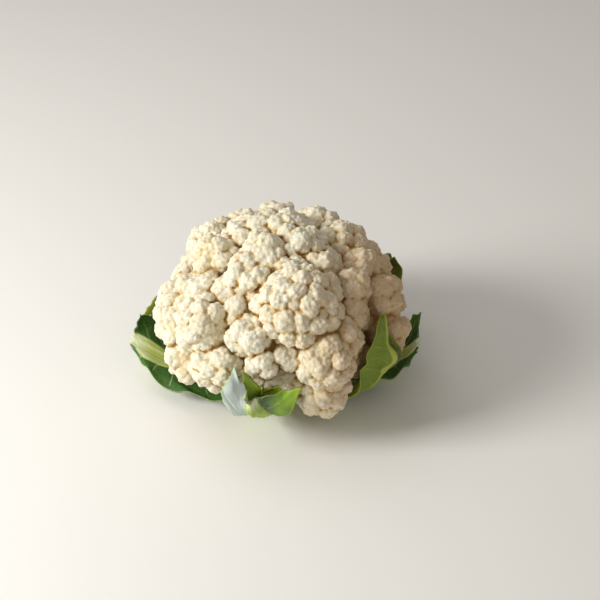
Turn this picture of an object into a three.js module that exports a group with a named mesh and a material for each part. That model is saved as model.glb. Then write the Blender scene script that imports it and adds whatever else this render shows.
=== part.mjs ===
// A trimmed cauliflower standing on its cut stem: one white curd of florets, the stem, and the leaves left
// round it. Millimetres and degrees. +Z is up, the origin is the middle of the stem's cut face, and the
// front of the head faces -Y. A bearing runs round +Z from the front, positive towards +X. A rise is the
// angle above the head's widest level, seen from its middle.
import * as THREE from "three";
import { ConvexHull } from "three/addons/math/ConvexHull.js";

// The head as a whole.
const HEAD_RADIUS = 86;
const RIM_HEIGHT = 50;
const DOME_RISE = 72;
const DROOP = 46;
const MIDDLE = new THREE.Vector3(0, 0, RIM_HEIGHT);

// The solid flesh that the florets branch from.
const CORE = { side: 62, up: 56, down: 29 };

// Each floret is covered with clusters of buds, which stand out of it as round knobs.
const CLUSTER = { spacing: 12.6, radius: 8 };
const SUNK = 0.55; // share of a cluster's radius that lies inside its floret
const RELIEF = CLUSTER.radius * (1 - SUNK);
const CAP_ANGLE = 105; // how far round a floret its clusters reach
const GOLDEN_ANGLE = Math.PI * (3 - Math.sqrt(5));
const RING_AT = 0.58; // how far from a knob's tip to its crease its ring lies
const SEED = 41;

// The stem.
const STEM = { cutRadius: 19, neckRadius: 22.5, gap: 0.4, sides: 28 };

// The leaves.
const LEAF = { rows: 14, columns: 10, blade: 1.3, clear: 1.2, groundGap: 0.6 };

const COLOURS = { curd: 0xf1e7d0, stem: 0xdfe3b4, inner: 0xa3b548, outer: 0x4d7a2c };

// Small seeded random numbers from 0 to 1, the same on every run.
function randomFrom(seed) {
  let state = seed;
  return () => {
    state = (state + 0x6d2b79f5) | 0;
    let t = Math.imul(state ^ (state >>> 15), 1 | state);
    t = (t + Math.imul(t ^ (t >>> 7), 61 | t)) ^ t;
    return ((t ^ (t >>> 14)) >>> 0) / 4294967296;
  };
}
const random = randomFrom(SEED);
const around = (spread) => (random() * 2 - 1) * spread;
const radians = THREE.MathUtils.degToRad;

// The direction from the middle of the head at a bearing and a rise.
function direction(bearing, rise) {
  const b = radians(bearing);
  const r = radians(rise);
  return new THREE.Vector3(Math.sin(b) * Math.cos(r), -Math.cos(b) * Math.cos(r), Math.sin(r));
}

// Distance from the middle to an ellipsoid whose upper and lower halves have their own heights.
function shell(d, side, up, down) {
  const high = d.z >= 0 ? up : down;
  return 1 / Math.hypot(d.x / side, d.y / side, d.z / high);
}

// The main florets that make the head's outline: bearing, rise, width, and how far each stands proud.
const FLORETS = [
  [-118, 68, 36, 2],
  [163, 80, 40, 3],
  [64, 77, 31, 4],
  [-88, 50, 36, 2],
  [-35, 55, 31, 0],
  [-29, 72, 37, 4],
  [109, 49, 35, 3],
  [85, 41, 29, 1],
  [61, 58, 29, -1],
  [18, 62, 26, -1],
  [14, 40, 57, 9],
  [58, 38, 23, 0],
  [50, 28, 24, -2],
  [77, 23, 31, 3],
  [73, 3, 34, 1],
  [37, 20, 30, -1],
  [23, 12, 40, 6],
  [23, -9, 32, 3],
  [3, 16, 21, -5],
  [-9, 13, 22, -3],
  [-16, 24, 31, 0],
  [1, 1, 24, -7],
  [-33, 4, 34, 2],
  [-22, -3, 22, -4],
  [-46, 21, 37, 6],
  [-71, 12, 38, 1],
  [-68, 33, 30, -1],
  [-56, -3, 31, 0],
  [-45, 42, 25, -3],
  [-29, 33, 28, -6],
  [-19, 43, 22, -6],
  [-121, 37, 40, 2],
];

// The back of the head: rings of florets at one rise, from one bearing round to another.
const BACK_RINGS = [
  { rise: 46, from: 140, to: 222, count: 3, width: 38 },
  { rise: 25, from: 106, to: 226, count: 5, width: 38 },
  { rise: 3, from: 104, to: 262, count: 7, width: 37 },
];

// Smaller florets fill what is left between the main ones, set back from the surface.
const FILLERS = { count: 72, width: 27, setBack: 13, lowestRise: -12 };

// A sphere of curd whose outermost point lies at a given distance from the middle.
function floret(d, width, reach) {
  const radius = width / 2;
  return { centre: d.clone().multiplyScalar(reach - radius), radius, axis: d };
}

function allFlorets() {
  const dome = (d) => shell(d, HEAD_RADIUS, DOME_RISE, DROOP) - RELIEF;
  const made = FLORETS.map(([bearing, rise, width, proud]) => {
    const d = direction(bearing, rise);
    return floret(d, width, dome(d) + proud);
  });
  for (const ring of BACK_RINGS) {
    for (let i = 0; i < ring.count; i++) {
      const step = (ring.to - ring.from) / (ring.count - 1);
      const d = direction(ring.from + i * step + around(4), ring.rise + around(3));
      made.push(floret(d, ring.width + around(4), dome(d) + around(2)));
    }
  }
  for (const d of spiral(new THREE.Vector3(0, 0, 1), 180, FILLERS.count, 0)) {
    if (d.z < Math.sin(radians(FILLERS.lowestRise))) continue;
    made.push(floret(d, FILLERS.width, dome(d) - FILLERS.setBack));
  }
  return made;
}

// Directions in a spiral over a cap round an axis, at even density, as buds grow on a shoot.
function spiral(axis, capAngle, count, turn) {
  const turned = new THREE.Quaternion().setFromUnitVectors(new THREE.Vector3(0, 0, 1), axis);
  const depth = 1 - Math.cos(radians(capAngle));
  const made = [];
  for (let i = 0; i < count; i++) {
    const z = 1 - (depth * (i + 0.5)) / count;
    const ring = Math.sqrt(Math.max(0, 1 - z * z));
    const angle = i * GOLDEN_ANGLE + turn;
    made.push(new THREE.Vector3(ring * Math.cos(angle), ring * Math.sin(angle), z).applyQuaternion(turned));
  }
  return made;
}

// Distance from the middle to the curd's surface along a direction: the furthest sphere, or the core.
function surfaceOf(spheres, margin = 0) {
  return (d) => {
    let far = shell(d, CORE.side, CORE.up, CORE.down) + margin;
    for (const { centre, radius } of spheres) {
      const along = centre.dot(d);
      const reach = radius + margin;
      const inside = reach * reach - centre.lengthSq() + along * along;
      if (inside > 0) far = Math.max(far, along + Math.sqrt(inside));
    }
    return far;
  };
}

// The clusters on every floret. One whose tip lies under the surface, or too near another, is left out.
function clustersOn(carriers, surface) {
  const made = [];
  for (const carrier of carriers) {
    const size = Math.min(CLUSTER.radius, carrier.radius * 0.6);
    const gap = (CLUSTER.spacing * size) / CLUSTER.radius;
    const area = 2 * Math.PI * carrier.radius ** 2 * (1 - Math.cos(radians(CAP_ANGLE)));
    const count = Math.round(area / (gap * gap * 0.87));
    for (const axis of spiral(carrier.axis, CAP_ANGLE, count, random() * Math.PI * 2)) {
      axis.add(new THREE.Vector3(around(0.08), around(0.08), around(0.08))).normalize();
      const own = size * (1 + around(0.12));
      const centre = carrier.centre.clone().addScaledVector(axis, carrier.radius - own * SUNK);
      const tip = centre.clone().addScaledVector(axis, own);
      const buried = surface(tip.clone().normalize()) > tip.length() + 0.4;
      const crowded = made.some((c) => c.tip.distanceToSquared(tip) < (gap * 0.66) ** 2);
      if (!buried && !crowded) made.push({ centre, radius: own, tip });
    }
  }
  return made;
}

const florets = allFlorets();
const clusters = clustersOn(florets, surfaceOf(florets));
const curdSurface = surfaceOf([...florets, ...clusters]);
const softEnvelope = surfaceOf(florets, RELIEF);

// The triangles that join directions into a round net, as three places in the list each.
function netOf(directions) {
  const place = new Map(directions.map((d, i) => [d, i]));
  return new ConvexHull().setFromPoints(directions).faces.map(({ edge }) => {
    return [edge, edge.next, edge.next.next].map((e) => place.get(e.head().point));
  });
}

// The curd's mesh is a net of corners round the middle. Each cluster has a corner on its tip, a ring of
// corners round it and one in the crease between it and each two neighbours. The underside is plainer.
function curdGeometry() {
  const PLAIN = { spacing: 9.5, count: 2600 };
  const tips = clusters.map((c) => c.tip);
  for (const d of spiral(new THREE.Vector3(0, 0, 1), 180, PLAIN.count, 0)) {
    const point = d.multiplyScalar(curdSurface(d));
    if (tips.every((t) => t.distanceToSquared(point) > PLAIN.spacing ** 2)) tips.push(point);
  }
  const directions = tips.map((t) => t.clone().normalize());
  for (const three of netOf(directions.slice())) {
    const crease = new THREE.Vector3();
    for (const i of three) crease.add(directions[i]);
    directions.push(crease.normalize());
    for (const i of three) {
      if (i < clusters.length) directions.push(directions[i].clone().lerp(crease, RING_AT).normalize());
    }
  }
  const corners = directions.map((d) => d.clone().multiplyScalar(curdSurface(d)));
  return indexed(corners, netOf(directions).flat());
}

function indexed(points, faces) {
  const geometry = new THREE.BufferGeometry().setFromPoints(points);
  geometry.setIndex(faces);
  geometry.computeVertexNormals();
  return geometry;
}

// The stem: a cut stalk that widens towards the head, with the scars of the leaves that were pulled off. Its
// top is dished to lie just under the core.
function stemGeometry() {
  const { cutRadius, neckRadius, gap } = STEM;
  const underCore = (radius) => RIM_HEIGHT - CORE.down * Math.sqrt(1 - (radius / CORE.side) ** 2) - gap;
  const profile = [
    [0, 0],
    [cutRadius - 0.8, 0],
    [cutRadius, 0.9],
    [cutRadius + 0.2, 4.6],
    [cutRadius - 0.9, 5.4],
    [cutRadius + 1, 9.8],
    [cutRadius + 0.1, 10.8],
    [neckRadius - 1, 18],
    [neckRadius, underCore(neckRadius) - 1],
    [neckRadius - 1, underCore(neckRadius - 1)],
    [neckRadius / 2, underCore(neckRadius / 2)],
    [0, underCore(0)],
  ].map(([radius, z]) => new THREE.Vector2(radius, z));
  return new THREE.LatheGeometry(profile, STEM.sides).rotateX(Math.PI / 2);
}

// Where each leaf runs, from the stem outwards: the rib and the blade's two edges, as stations of bearing,
// distance from the stem's axis and height. left is the side of the smaller bearing.
const LEAVES = {
  leaf_left: {
    colour: "outer",
    rib: [[-95, 20.8, 7], [-93, 46, 6], [-91, 66, 10], [-92, 84, 17], [-95, 101, 25]],
    left: [[-112, 20.8, 7], [-116, 46, 9], [-118, 70, 16], [-112, 89, 29], [-102, 95, 37]],
    right: [[-78, 20.8, 8], [-38, 43, 11], [-49, 57, 13.5], [-73, 79, 14.5], [-93, 101, 22]],
    ribSize: [6, 13, 3, 9],
    wave: [1.6, 3.2],
  },
  leaf_front: {
    colour: "inner",
    rib: [[-13, 20.8, 8], [-13, 40, 13], [-13, 57, 19], [-13, 68, 30], [-13, 75, 48]],
    left: [[-25, 20.8, 8], [-23, 44, 14], [-19.5, 62, 29], [-23, 79, 57], [-18.5, 80, 71]],
    right: [[-1, 20.8, 8], [-1, 42, 13], [1, 60, 21], [4, 71, 34], [9.8, 80, 60]],
    ribSize: [6, 14, 4, 11],
    wave: [0.6, 2.2],
    lift: 4.4,
  },
  leaf_front_inner: {
    colour: "outer",
    rib: [[-8, 22, 17], [-8, 40, 21], [-8, 57, 27], [-8, 68, 40], [-8, 75, 56]],
    left: [[-14, 22, 17], [-16, 40, 21], [-18, 57, 29], [-18, 70, 46], [-16, 77, 66]],
    right: [[-3, 22, 17], [-1, 40, 21], [0, 57, 27], [1, 69, 42], [1, 76, 56]],
    ribSize: [0.2, 5, 0.1, 2],
    wave: [0, 2.2],
  },
  leaf_right_front: {
    colour: "inner",
    rib: [[46, 20.8, 8], [52, 48, 15], [58, 67, 25], [59, 75, 44], [57, 77.5, 62], [56.5, 76, 82]],
    left: [[36, 20.8, 8], [41, 48, 17], [43.5, 66, 34], [43.5, 73, 48], [46, 78, 64], [55.5, 76, 82.5]],
    right: [[56, 20.8, 8], [63, 48, 15], [67, 68, 22], [65, 77, 41], [61, 77.5, 61], [57.5, 76, 81.5]],
    ribSize: [5, 11, 1.4, 4],
    wave: [0.7, 2.4],
  },
  leaf_right: {
    colour: "outer",
    rib: [[93, 20.8, 7], [92, 46, 8], [91, 66, 12], [90, 82, 20], [90, 90, 30]],
    left: [[78, 20.8, 7], [74, 46, 9], [73, 62, 13.5], [78, 79, 19.5], [87, 91, 25]],
    right: [[106, 20.8, 7], [109, 46, 8], [111, 70, 18], [106, 87, 34], [99, 90, 43]],
    ribSize: [6, 13, 2.4, 7],
    wave: [1.4, 2.8],
  },
  leaf_back_right: {
    colour: "outer",
    rib: [[135, 20.8, 8], [135, 46, 8], [136, 68, 16], [137, 87, 38], [136, 91, 60]],
    left: [[122, 20.8, 8], [121, 46, 9], [119, 68, 20], [117, 87, 42], [120, 89, 67]],
    right: [[148, 20.8, 8], [149, 46, 9], [152, 68, 20], [154, 86, 40], [149, 90, 60]],
    ribSize: [7, 14, 2.2, 6],
    wave: [1.3, 2.4],
  },
  leaf_back: {
    colour: "outer",
    rib: [[180, 20.8, 7], [180, 46, 6], [180, 68, 11], [180, 88, 26], [180, 95, 42]],
    left: [[167, 20.8, 7], [163, 46, 7], [160, 68, 14], [160, 88, 30], [166, 94, 48]],
    right: [[193, 20.8, 7], [197, 46, 7], [200, 68, 14], [202, 88, 32], [196, 95, 50]],
    ribSize: [7, 14, 3, 8],
    wave: [1.3, 2.7],
  },
  leaf_back_left: {
    colour: "inner",
    rib: [[-138, 20.8, 8], [-138, 46, 9], [-136, 67, 17], [-130, 84, 34], [-122, 88, 46]],
    left: [[-151, 20.8, 8], [-153, 46, 10], [-154, 67, 20], [-153, 85, 40], [-145, 89, 53]],
    right: [[-125, 20.8, 8], [-124, 46, 10], [-120, 66, 18], [-107, 85, 32], [-98, 88, 43]],
    ribSize: [7, 13, 2.2, 6],
    wave: [1.0, 2.3],
  },
};

// Turns a bearing, a distance from the stem's axis and a height into a point.
function station({ x: bearing, y: radius, z: height }) {
  const b = radians(bearing);
  return new THREE.Vector3(radius * Math.sin(b), -radius * Math.cos(b), height);
}

// The point pushed straight out from the head's middle until it is clear of the florets.
function clearOfCurd(point, lift) {
  const fromMiddle = point.clone().sub(MIDDLE);
  const d = fromMiddle.clone().normalize();
  const side = new THREE.Vector3(0, 0, 1).cross(d).normalize();
  const rise = d.clone().cross(side);
  let least = curdSurface(d);
  for (const [a, b] of [[0, 0], [1, 0], [-1, 0], [0, 1], [0, -1]]) {
    const near = d.clone().addScaledVector(side, a * 0.07).addScaledVector(rise, b * 0.07).normalize();
    least = Math.max(least, softEnvelope(near) - 1.5, curdSurface(near));
  }
  return d.multiplyScalar(Math.max(fromMiddle.length(), least + LEAF.clear + lift)).add(MIDDLE);
}

function leafGeometry({ rib, left, right, ribSize, wave, lift = 0 }) {
  const curves = [left, rib, right].map(
    (stations) => new THREE.CatmullRomCurve3(stations.map((s) => new THREE.Vector3(...s)), false, "centripetal"),
  );
  const { rows, columns, blade } = LEAF;
  const [baseThick, baseWide, endThick, endWide] = ribSize;
  const [waveHeight, waves] = wave;
  const inner = [];
  for (let i = 0; i <= rows; i++) {
    const u = i / rows;
    const [l, m, r] = curves.map((curve) => curve.getPoint(u));
    for (let j = 0; j <= columns; j++) {
      const s = (2 * j) / columns - 1;
      const v = Math.sign(s) * Math.abs(s) ** 1.35;
      const place = m.clone().lerp(v < 0 ? l : r, Math.abs(v));
      const ruffle = waveHeight * u * v * v * Math.sin((waves * u + (v < 0 ? 0.3 : 0.8)) * Math.PI * 2);
      place.y += ruffle;
      inner.push(clearOfCurd(station(place), lift));
    }
  }
  const at = (i, j) => inner[i * (columns + 1) + j];
  const outer = inner.map((point, n) => {
    const i = Math.floor(n / (columns + 1));
    const j = n % (columns + 1);
    const u = i / rows;
    const along = at(Math.min(i + 1, rows), j).clone().sub(at(Math.max(i - 1, 0), j));
    const across = at(i, Math.min(j + 1, columns)).clone().sub(at(i, Math.max(j - 1, 0)));
    const normal = across.cross(along).normalize();
    const off = point.distanceTo(at(i, columns / 2));
    const wide = THREE.MathUtils.lerp(baseWide, endWide, Math.sqrt(u)) / 2;
    const thick = THREE.MathUtils.lerp(baseThick, endThick, Math.sqrt(u));
    const bell = Math.max(0, 1 - (off / (wide * 1.6)) ** 2) ** 1.5;
    const made = point.clone().addScaledVector(normal, blade + thick * bell);
    made.z = Math.max(made.z, LEAF.groundGap);
    return made;
  });
  return indexed([...inner, ...outer], sheetFaces(rows, columns));
}

// The faces of a sheet with two sides that are split alike, closed round its four edges.
function sheetFaces(rows, columns) {
  const wide = columns + 1;
  const below = (rows + 1) * wide;
  const faces = [];
  const quad = (a, b, c, d) => faces.push(a, b, c, a, c, d);
  for (let i = 0; i < rows; i++) {
    for (let j = 0; j < columns; j++) {
      const [a, b, c, d] = [i * wide + j, i * wide + j + 1, (i + 1) * wide + j + 1, (i + 1) * wide + j];
      quad(a, d, c, b);
      faces.push(below + a, below + c, below + d, below + a, below + b, below + c);
    }
  }
  for (let j = 0; j < columns; j++) {
    const end = rows * wide + j;
    quad(j, j + 1, below + j + 1, below + j);
    quad(end, below + end, below + end + 1, end + 1);
  }
  for (let i = 0; i < rows; i++) {
    const a = i * wide;
    const b = a + columns;
    quad(a, below + a, below + a + wide, a + wide);
    quad(b, b + wide, below + b + wide, below + b);
  }
  return faces;
}

function material(colour, roughness) {
  return new THREE.MeshStandardMaterial({ color: colour, roughness, metalness: 0 });
}

const cauliflower = new THREE.Group();

function addMesh(name, geometry, finish) {
  const mesh = new THREE.Mesh(geometry, finish);
  mesh.name = name;
  cauliflower.add(mesh);
  return mesh;
}

addMesh("curd", curdGeometry(), material(COLOURS.curd, 0.7)).position.copy(MIDDLE);
addMesh("stem", stemGeometry(), material(COLOURS.stem, 0.65));
for (const [name, leaf] of Object.entries(LEAVES)) {
  addMesh(name, leafGeometry(leaf), material(COLOURS[leaf.colour], 0.55));
}

export default cauliflower;
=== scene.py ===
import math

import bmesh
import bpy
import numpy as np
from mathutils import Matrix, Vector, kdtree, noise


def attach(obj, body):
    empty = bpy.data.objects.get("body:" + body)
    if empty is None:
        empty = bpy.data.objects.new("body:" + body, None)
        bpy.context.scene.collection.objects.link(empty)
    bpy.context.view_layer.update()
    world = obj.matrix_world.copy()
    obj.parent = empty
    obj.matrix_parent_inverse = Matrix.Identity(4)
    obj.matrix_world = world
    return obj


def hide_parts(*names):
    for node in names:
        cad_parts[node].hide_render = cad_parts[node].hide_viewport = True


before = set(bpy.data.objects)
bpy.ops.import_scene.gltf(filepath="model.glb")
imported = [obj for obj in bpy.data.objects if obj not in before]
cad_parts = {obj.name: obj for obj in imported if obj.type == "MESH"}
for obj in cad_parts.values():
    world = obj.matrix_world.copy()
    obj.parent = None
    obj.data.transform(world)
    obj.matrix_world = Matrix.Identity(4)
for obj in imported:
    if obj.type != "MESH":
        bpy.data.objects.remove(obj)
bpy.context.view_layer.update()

# %% [markdown]
# # A head of cauliflower
#
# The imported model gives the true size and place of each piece: the curd, the stem and eight leaves. Here
# each one is grown again with the detail that a plain solid leaves out, and gets a finish of its own.
#
# A plant builds itself by one rule used over and over: a shoot makes smaller shoots all round it. The curd
# shows this at four sizes: florets as wide as a plum, clusters, knots and buds. To sculpt thousands of buds
# by hand would take days, so they are grown by that same rule, from seeds that give the same head each run.

MM = 0.001  # lengths are in millimetres until a mesh is made, and Blender's are in metres

# %% [markdown]
# ## Camera
#
# The photograph looks down on the head from the front. Its florets keep their size from front to back,
# which tells of a long lens some way off. A short lens close by would make the front ones swell, so the
# camera stands back by two and a half times the width that it sees.

# %% Camera
PIXEL = 0.65 * MM  # what one pixel of the photograph covers at the head
PICTURE = 600  # the photograph's width and height, in pixels
HEAD_AT = (281, 317)  # where the head's middle lies in the photograph, in pixels
RIM_HEIGHT = 50  # the head's widest level, where its middle is, above the table
LOOK_DOWN = math.radians(35)
LENS, SENSOR = 90, 36  # a long lens, in millimetres as on a real camera

head_middle = Vector((0, 0, RIM_HEIGHT * MM))
towards_camera = Vector((0, -math.cos(LOOK_DOWN), math.sin(LOOK_DOWN)))
picture_up = Vector((0, math.sin(LOOK_DOWN), math.cos(LOOK_DOWN)))
aim = head_middle + Vector((1, 0, 0)) * (PICTURE / 2 - HEAD_AT[0]) * PIXEL
aim += picture_up * (HEAD_AT[1] - PICTURE / 2) * PIXEL

camera = bpy.data.objects.new("camera", bpy.data.cameras.new("camera"))
camera.data.lens = LENS
camera.data.sensor_width = SENSOR
camera.location = aim + towards_camera * PICTURE * PIXEL * LENS / SENSOR
camera.rotation_euler = (-towards_camera).to_track_quat("-Z", "Y").to_euler()
bpy.context.scene.collection.objects.link(camera)
bpy.context.scene.camera = camera
print("camera stands", round((camera.location - aim).length, 3), "m back")

# %% [markdown]
# ## Colours and nodes
#
# A colour is written as the eye sees it on a screen, in hex, and the shader wants it linear, so one function
# turns it. One more adds a node with its settings and links. The third paints one colour over another.
#
# Flesh and leaves get their look tone over tone, each tone where its own cause is: shade, age or wax. A
# painted image could hold that too, but it is only as sharp as its pixels. Patterns worked out from a width
# in millimetres stay sharp and have no seams.

# %% Helpers for materials


def linear(hex_colour):
    """A screen colour such as "F1E7D0" as linear red, green, blue and full alpha."""
    screen = [int(hex_colour[i : i + 2], 16) / 255 for i in (0, 2, 4)]
    return [c / 12.92 if c <= 0.04045 else ((c + 0.055) / 1.055) ** 2.4 for c in screen] + [1]


def add_node(tree, kind, sockets=None, stops=(), **settings):
    """Adds a node. Sockets take a number, a hex colour or another node's socket, and a ramp takes stops."""
    node = tree.nodes.new(kind)
    for name, value in settings.items():
        setattr(node, name, value)
    for name, value in (sockets or {}).items():
        if isinstance(value, bpy.types.NodeSocket):
            tree.links.new(value, node.inputs[name])
        else:
            node.inputs[name].default_value = linear(value) if isinstance(value, str) else value
    for i, (place, colour) in enumerate(stops):
        elements = node.color_ramp.elements
        stop = elements.new(place) if i > 1 else elements[i]
        stop.position = place
        stop.color = linear(colour)
    return node


def painted(tree, under, over, *limits):
    """One colour painted over another. Each is a hex colour or a socket.

    A limit is a value, the range in which it counts, and the shares painted at the range's two ends. The
    share goes smoothly from one to the other, and the shares of several limits are multiplied.
    """
    share = 1.0
    for value, low, high, at_low, at_high in limits:
        spans = {"Value": value, "From Min": low, "From Max": high, "To Min": at_low, "To Max": at_high}
        part = add_node(tree, "ShaderNodeMapRange", spans, interpolation_type="SMOOTHSTEP").outputs[0]
        share = add_node(tree, "ShaderNodeMath", {0: share, 1: part}, operation="MULTIPLY").outputs[0]
    return add_node(tree, "ShaderNodeMix", {0: share, 6: under, 7: over}, data_type="RGBA").outputs[2]


def new_material(name):
    """An empty material and its tree of nodes."""
    material = bpy.data.materials.new(name)
    material.use_nodes = True
    material.node_tree.nodes.clear()
    return material, material.node_tree


def scale_for(width):
    """The scale of a pattern whose cells are this many millimetres wide."""
    return 1 / (width * MM)


print("a cell of 2 mm needs a scale of", scale_for(2))


# %% [markdown]
# ## Floor and light
#
# The photograph was lit by one broad lamp from the upper left, and its shade is soft and warm. An image of a
# real room could light the head too, but then no lamp could be moved by itself. Here the key lamp makes the
# shade, two weak ones and a pale sky lighten it, and each can be set against the photograph in turn.
#
# The floor is plain and pale. It isn't part of the object, so it is marked as stage.

# %% Floor
FLOOR_REACH = 3  # metres from the middle, past what any view of the head takes in
floor_mesh = bpy.data.meshes.new("floor")
floor_corners = [(x * FLOOR_REACH, y * FLOOR_REACH, 0) for x, y in ((-1, -1), (1, -1), (1, 1), (-1, 1))]
floor_mesh.from_pydata(floor_corners, [], [(0, 1, 2, 3)])
floor = bpy.data.objects.new("floor", floor_mesh)
bpy.context.scene.collection.objects.link(floor)

# Seamless background paper: matte and nearly white.
paper, tree = new_material("background_paper")
shader = add_node(tree, "ShaderNodeBsdfPrincipled", {"Base Color": "FBFAF8", "Roughness": 0.9})
add_node(tree, "ShaderNodeOutputMaterial", {"Surface": shader.outputs[0]})
floor_mesh.materials.append(paper)
print("floor is", 2 * FLOOR_REACH, "m wide")

# %% Lamps
LAMPS = [  # name, place in metres, width in metres, watts, colour
    ("key_lamp", (-0.92, -0.34, 0.6), 0.4, 10.8, "FFFDF8"),
    ("front_fill", (-0.25, -1.2, 0.7), 0.9, 1.0, "FFF8EC"),
    ("top_fill", (-0.5, 0.4, 1.15), 0.9, 2.1, "FFFFFF"),
]
SKY_COLOUR, SKY_STRENGTH = "FFF7EC", 0.29

for name, place, width, watts, colour in LAMPS:
    lamp = bpy.data.objects.new(name, bpy.data.lights.new(name, "AREA"))
    lamp.data.size = width
    lamp.data.energy = watts
    lamp.data.color = linear(colour)[:3]
    lamp.location = place
    lamp.rotation_euler = (head_middle - Vector(place)).to_track_quat("-Z", "Y").to_euler()
    bpy.context.scene.collection.objects.link(lamp)

sky = bpy.data.worlds.new("soft_room")
sky.use_nodes = True
sky.node_tree.nodes["Background"].inputs["Color"].default_value = linear(SKY_COLOUR)
sky.node_tree.nodes["Background"].inputs["Strength"].default_value = SKY_STRENGTH
bpy.context.scene.world = sky
bpy.context.scene.view_settings.view_transform = "Standard"
print(len(LAMPS), "lamps")

# %% [markdown]
# ## Where the florets stand
#
# The curd is one mass of florets round the head's middle. A spiral alone would place them evenly, but a
# head is known by its few great florets, so the main ones were read from the photograph: each one's
# bearing round the head from the front, its rise above the head's widest level, its width in millimetres,
# and how far it stands proud of its neighbours. The back, which the photograph doesn't show, has rings of
# florets of the same size. Smaller ones, set deeper, fill the gaps.
#
# The random draws follow the same seeded rule as the imported solid's, so both have the same florets.

# %% The head's measures
HEAD_RADIUS = 86
DOME_RISE = 72
DROOP = 46  # how far the florets reach below the widest level
CORE = (62, 56, 29)  # side, up and down: the solid flesh that the florets branch from
CLUSTER_GAP = 12.6
CLUSTER_RADIUS = 8
SUNK = 0.55  # the share of a cluster's radius that lies in its floret
RELIEF = CLUSTER_RADIUS * (1 - SUNK)
CAP_ANGLE = 105  # clusters cover a floret from its tip to this many degrees down
GOLDEN_ANGLE = math.pi * (3 - math.sqrt(5))  # the turn from one shoot to the next

FLORETS = [
    (-118, 68, 36, 2),
    (163, 80, 40, 3),
    (64, 77, 31, 4),
    (-88, 50, 36, 2),
    (-35, 55, 31, 0),
    (-29, 72, 37, 4),
    (109, 49, 35, 3),
    (85, 41, 29, 1),
    (61, 58, 29, -1),
    (18, 62, 26, -1),
    (14, 40, 57, 9),
    (58, 38, 23, 0),
    (50, 28, 24, -2),
    (77, 23, 31, 3),
    (73, 3, 34, 1),
    (37, 20, 30, -1),
    (23, 12, 40, 6),
    (23, -9, 32, 3),
    (3, 16, 21, -5),
    (-9, 13, 22, -3),
    (-16, 24, 31, 0),
    (1, 1, 24, -7),
    (-33, 4, 34, 2),
    (-22, -3, 22, -4),
    (-46, 21, 37, 6),
    (-71, 12, 38, 1),
    (-68, 33, 30, -1),
    (-56, -3, 31, 0),
    (-45, 42, 25, -3),
    (-29, 33, 28, -6),
    (-19, 43, 22, -6),
    (-121, 37, 40, 2),
]
BACK_RINGS = [  # rise, first and last bearing, count, width
    (46, 140, 222, 3, 38),
    (25, 106, 226, 5, 38),
    (3, 104, 262, 7, 37),
]
FILLERS = {"count": 72, "width": 27, "set_back": 13, "lowest_rise": -12}
print(len(FLORETS), "florets are placed by hand, and clusters stand", round(RELIEF, 1), "mm out of them")

# %% Seeded draws, directions and the spiral


def seeded_draws(seed):
    """Numbers from 0 to 1 that are the same on every run: a small 32-bit scrambler."""
    mask = 2**32 - 1
    state = seed

    def draw():
        nonlocal state
        state = (state + 0x6D2B79F5) & mask
        t = ((state ^ (state >> 15)) * (1 | state)) & mask
        t = ((t + (((t ^ (t >> 7)) * (61 | t)) & mask)) & mask) ^ t
        return ((t ^ (t >> 14)) & mask) / 2**32

    return draw


draw = seeded_draws(41)


def around(spread):
    """A small amount either way."""
    return (draw() * 2 - 1) * spread


def direction(bearing, rise):
    """The way from the head's middle at a bearing and a rise, in degrees."""
    b, r = math.radians(bearing), math.radians(rise)
    return np.array([math.sin(b) * math.cos(r), -math.cos(b) * math.cos(r), math.sin(r)])


def shell(ways, side, up, down):
    """Distance from the middle to an ellipsoid whose upper and lower halves have their own heights."""
    high = np.where(ways[..., 2] >= 0, up, down)
    return 1 / np.sqrt((ways[..., 0] / side) ** 2 + (ways[..., 1] / side) ** 2 + (ways[..., 2] / high) ** 2)


def unit(vectors):
    """Vectors brought to a length of 1."""
    return vectors / np.linalg.norm(vectors, axis=-1, keepdims=True)


def spiral(axis, cap_angle, count, turn):
    """Ways in a spiral over a cap round an axis, at even density, as buds stand on a shoot."""
    steps = np.arange(count)
    height = 1 - (1 - math.cos(math.radians(cap_angle))) * (steps + 0.5) / count
    ring = np.sqrt(np.maximum(0, 1 - height**2))
    angle = steps * GOLDEN_ANGLE + turn
    ways = np.stack([ring * np.cos(angle), ring * np.sin(angle), height], axis=1)
    turned = Vector((0, 0, 1)).rotation_difference(Vector(axis)).to_matrix()
    return ways @ np.array(turned).T


print("30 degrees up in front is the way", direction(0, 30).round(2))


# %% Place the florets


def dome(way):
    """Where the florets' tips would lie without their clusters."""
    return shell(way, HEAD_RADIUS, DOME_RISE, DROOP) - RELIEF


florets = []  # centre, radius, axis
for bearing, rise, width, proud in FLORETS:
    way = direction(bearing, rise)
    florets.append((way * (dome(way) + proud - width / 2), width / 2, way))
for rise, start, end, count, width in BACK_RINGS:
    for i in range(count):
        # Each is a little off its even place, and a little wider or slimmer.
        way = direction(start + i * (end - start) / (count - 1) + around(4), rise + around(3))
        wide = width + around(4)
        florets.append((way * (dome(way) + around(2) - wide / 2), wide / 2, way))
for way in spiral((0, 0, 1), 180, FILLERS["count"], 0):
    if way[2] >= math.sin(math.radians(FILLERS["lowest_rise"])):
        reach = dome(way) - FILLERS["set_back"]
        florets.append((way * (reach - FILLERS["width"] / 2), FILLERS["width"] / 2, way))

floret_centres = np.array([f[0] for f in florets])
floret_radii = np.array([f[1] for f in florets])

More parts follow.
